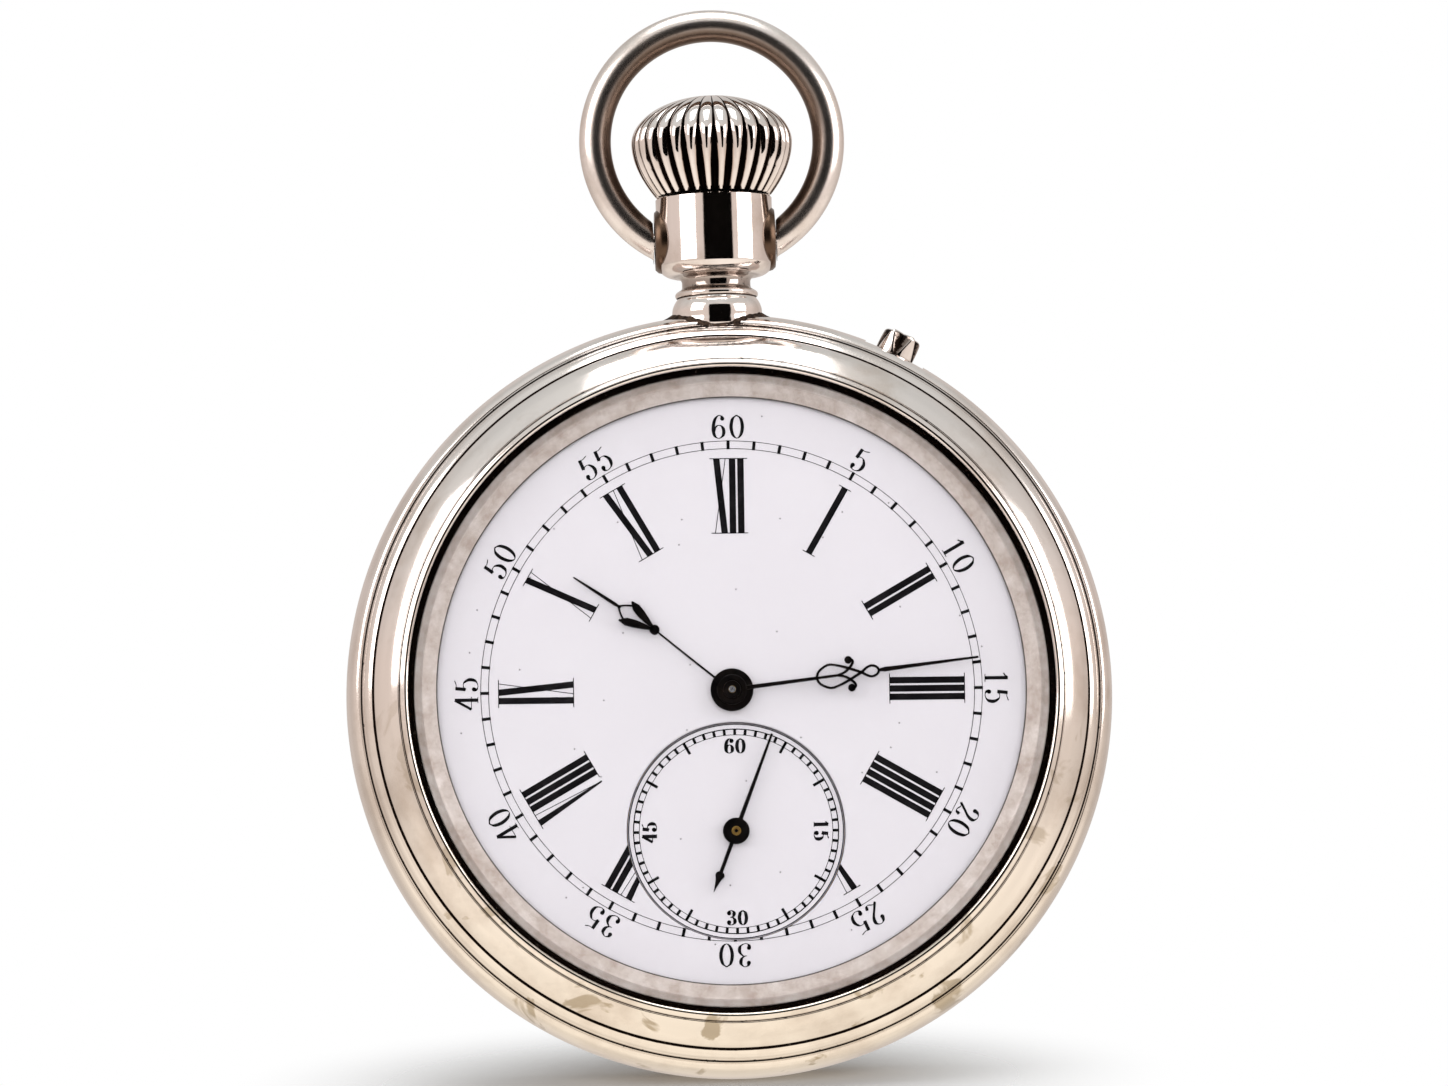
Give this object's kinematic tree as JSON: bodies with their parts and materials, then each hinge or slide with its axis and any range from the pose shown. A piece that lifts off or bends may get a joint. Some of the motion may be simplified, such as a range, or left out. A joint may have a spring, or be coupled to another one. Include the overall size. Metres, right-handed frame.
{
  "type": "pocket watch",
  "caption": "Open-face pocket watch with a small seconds dial, wound by its crown and set by a push pin, with a hinged back over a complete lever movement.",
  "frame": {"origin": "middle of the flat on the case back", "axes": "+Z towards the pendant and bow, -Y out of the dial, +X towards 3 o'clock"},
  "size_m": [0.054, 0.0145, 0.0758],
  "materials": {
    "silver": "polished, tarnished in its grooves",
    "dull_metal": "dull",
    "glass": "clear",
    "enamel": "fired vitreous enamel, glossy",
    "black_steel": "blackened",
    "gilt_brass": "gilt, fine matt",
    "steel": "polished",
    "blued_steel": "heat-blued",
    "ruby": "polished jewel"
  },
  "bodies": {
    "case": {"case_middle": "silver", "pendant": "silver", "bezel": "silver", "crystal": "glass", "dial_flange": "dull_metal", "dial": "enamel", "seconds_dial": "enamel", "main_plate": "gilt_brass", "barrel_bridge": "gilt_brass", "train_bridge": "gilt_brass", "balance_cock": "gilt_brass", "pallet_cock": "gilt_brass", "barrel_bridge_screw_1": "blued_steel", "barrel_bridge_screw_2": "blued_steel", "train_bridge_screw_1": "blued_steel", "train_bridge_screw_2": "blued_steel", "balance_cock_screw": "blued_steel", "pallet_cock_screw": "blued_steel", "click_screw": "blued_steel", "crown_wheel_screw": "blued_steel", "back_hinge_pin": "steel", "dust_hinge_pin": "steel", "hairspring": "blued_steel", "hairspring_stud": "steel", "click_spring": "blued_steel"},
    "bow": {"bow": "silver"},
    "back_cover": {"back_cover": "silver"},
    "dust_cover": {"dust_cover": "silver"},
    "crown": {"crown": "silver", "winding_stem": "steel", "winding_pinion": "steel"},
    "sliding_pinion": {"sliding_pinion": "steel"},
    "set_pin": {"set_pin": "silver"},
    "setting_lever": {"setting_lever": "steel"},
    "crown_wheel": {"crown_wheel": "steel"},
    "ratchet": {"ratchet_wheel": "steel", "ratchet_screw": "blued_steel", "barrel_arbor": "steel"},
    "click": {"click": "steel"},
    "barrel": {"barrel_drum": "gilt_brass", "barrel_cover": "gilt_brass", "mainspring": "blued_steel"},
    "centre": {"centre_wheel": "gilt_brass", "cannon_pinion": "steel"},
    "minute_hand": {"minute_hand": "black_steel"},
    "minute_wheel": {"minute_wheel": "gilt_brass"},
    "hour_wheel": {"hour_wheel": "gilt_brass"},
    "hour_hand": {"hour_hand": "black_steel"},
    "setting_wheel": {"setting_wheel": "steel"},
    "third": {"third_wheel": "gilt_brass"},
    "fourth": {"fourth_wheel": "gilt_brass", "seconds_hand": "black_steel"},
    "escape": {"escape_wheel": "steel"},
    "pallet": {"pallet_fork": "steel"},
    "balance": {"balance_wheel": "gilt_brass", "impulse_roller": "ruby"},
    "regulator": {"regulator": "steel"}
  },
  "joints": [
    {"name": "bow_swing", "type": "hinge", "parent": "case", "child": "bow", "pos_m": [0, -0.0066, 0.0324], "axis": [1, 0, 0], "range_deg": [-120, 120]},
    {"name": "back_cover_open", "type": "hinge", "parent": "case", "child": "back_cover", "pos_m": [-0.0257, -0.0031, 0], "axis": [0, 0, 1], "range_deg": [0, 110]},
    {"name": "dust_cover_open", "type": "hinge", "parent": "case", "child": "dust_cover", "pos_m": [-0.0241, -0.0031, 0], "axis": [0, 0, 1], "range_deg": [0, 88]},
    {"name": "crown_turn", "type": "hinge", "parent": "case", "child": "crown", "pos_m": [0, -0.0066, 0.03555], "axis": [0, 0, 1], "continuous": true},
    {"name": "crown_wheel_turn", "type": "hinge", "parent": "case", "child": "crown_wheel", "pos_m": [0, -0.0066, 0.01326], "axis": [0, 1, 0], "continuous": true},
    {"name": "ratchet_turn", "type": "hinge", "parent": "case", "child": "ratchet", "pos_m": [-0.00724, -0.0066, 0.00607], "axis": [0, 1, 0], "continuous": true},
    {"name": "set_pin_press", "type": "slide", "parent": "case", "child": "set_pin", "axis": [-0.4617, 0, -0.887], "range_m": [0, 0.0009], "stiffness_N_per_m": 600},
    {"name": "setting_lever_turn", "type": "hinge", "parent": "case", "child": "setting_lever", "pos_m": [0.01705, -0.0066, 0.00945], "axis": [0, -1, 0], "range_deg": [0, 4.84]},
    {"name": "sliding_pinion_slide", "type": "slide", "parent": "crown", "child": "sliding_pinion", "axis": [0, 0, -1], "range_m": [0, 0.00128]},
    {"name": "click_lift", "type": "hinge", "parent": "case", "child": "click", "pos_m": [-0.01456, -0.0066, 0.00804], "axis": [0, -1, 0], "range_deg": [0, 10], "stiffness_Nm_per_rad": 0.0002},
    {"name": "seconds_run", "type": "hinge", "parent": "case", "child": "fourth", "pos_m": [0, -0.0066, -0.00985], "axis": [0, 1, 0], "continuous": true},
    {"name": "third_turn", "type": "hinge", "parent": "case", "child": "third", "pos_m": [0.00446, -0.0066, -0.00566], "axis": [0, 1, 0], "continuous": true},
    {"name": "centre_turn", "type": "hinge", "parent": "case", "child": "centre", "pos_m": [0, -0.0066, 0], "axis": [0, 1, 0], "continuous": true},
    {"name": "barrel_turn", "type": "hinge", "parent": "case", "child": "barrel", "pos_m": [-0.00724, -0.0066, 0.00607], "axis": [0, 1, 0], "continuous": true},
    {"name": "escape_turn", "type": "hinge", "parent": "case", "child": "escape", "pos_m": [-0.0053, -0.0066, -0.01168], "axis": [0, 1, 0], "continuous": true},
    {"name": "minute_wheel_turn", "type": "hinge", "parent": "case", "child": "minute_wheel", "pos_m": [0, -0.0066, 0.00336], "axis": [0, 1, 0], "continuous": true},
    {"name": "hour_wheel_turn", "type": "hinge", "parent": "case", "child": "hour_wheel", "pos_m": [0, -0.0066, 0], "axis": [0, 1, 0], "continuous": true},
    {"name": "setting_wheel_turn", "type": "hinge", "parent": "case", "child": "setting_wheel", "pos_m": [0, -0.0066, 0.01008], "axis": [0, 1, 0], "continuous": true},
    {"name": "hand_setting", "type": "hinge", "parent": "centre", "child": "minute_hand", "pos_m": [0, -0.0066, 0], "axis": [0, 1, 0], "continuous": true},
    {"name": "hour_hand_turn", "type": "hinge", "parent": "hour_wheel", "child": "hour_hand", "pos_m": [0, -0.0066, 0], "axis": [0, 1, 0], "continuous": true},
    {"name": "pallet_swing", "type": "hinge", "parent": "case", "child": "pallet", "pos_m": [-0.00853, -0.0066, -0.00958], "axis": [0, 1, 0], "range_deg": [-5, 5]},
    {"name": "balance_swing", "type": "hinge", "parent": "case", "child": "balance", "pos_m": [-0.01218, -0.0066, -0.00721], "axis": [0, 1, 0], "range_deg": [-220, 220], "stiffness_Nm_per_rad": 0.000005},
    {"name": "regulator_turn", "type": "hinge", "parent": "case", "child": "regulator", "pos_m": [-0.01218, -0.0066, -0.00721], "axis": [0, 1, 0], "range_deg": [-15, 15]}
  ],
  "couplings": [
    {"joint": "dust_cover_open", "follows": "back_cover_open", "ratio": 0.8},
    {"joint": "crown_wheel_turn", "follows": "crown_turn", "ratio": -0.71429},
    {"joint": "ratchet_turn", "follows": "crown_turn", "ratio": 0.625},
    {"joint": "setting_lever_turn", "follows": "set_pin_press", "rad_per_m": 92.923},
    {"joint": "sliding_pinion_slide", "follows": "set_pin_press", "ratio": 1.4202},
    {"joint": "third_turn", "follows": "seconds_run", "ratio": -0.13333},
    {"joint": "centre_turn", "follows": "seconds_run", "ratio": 0.016667},
    {"joint": "barrel_turn", "follows": "seconds_run", "ratio": -0.0020833},
    {"joint": "escape_turn", "follows": "seconds_run", "ratio": -10},
    {"joint": "minute_wheel_turn", "follows": "seconds_run", "ratio": -0.0055556},
    {"joint": "hour_wheel_turn", "follows": "seconds_run", "ratio": 0.0013889},
    {"joint": "setting_wheel_turn", "follows": "seconds_run", "ratio": 0.0033333},
    {"joint": "hour_hand_turn", "follows": "hand_setting", "ratio": 0.083333}
  ]
}
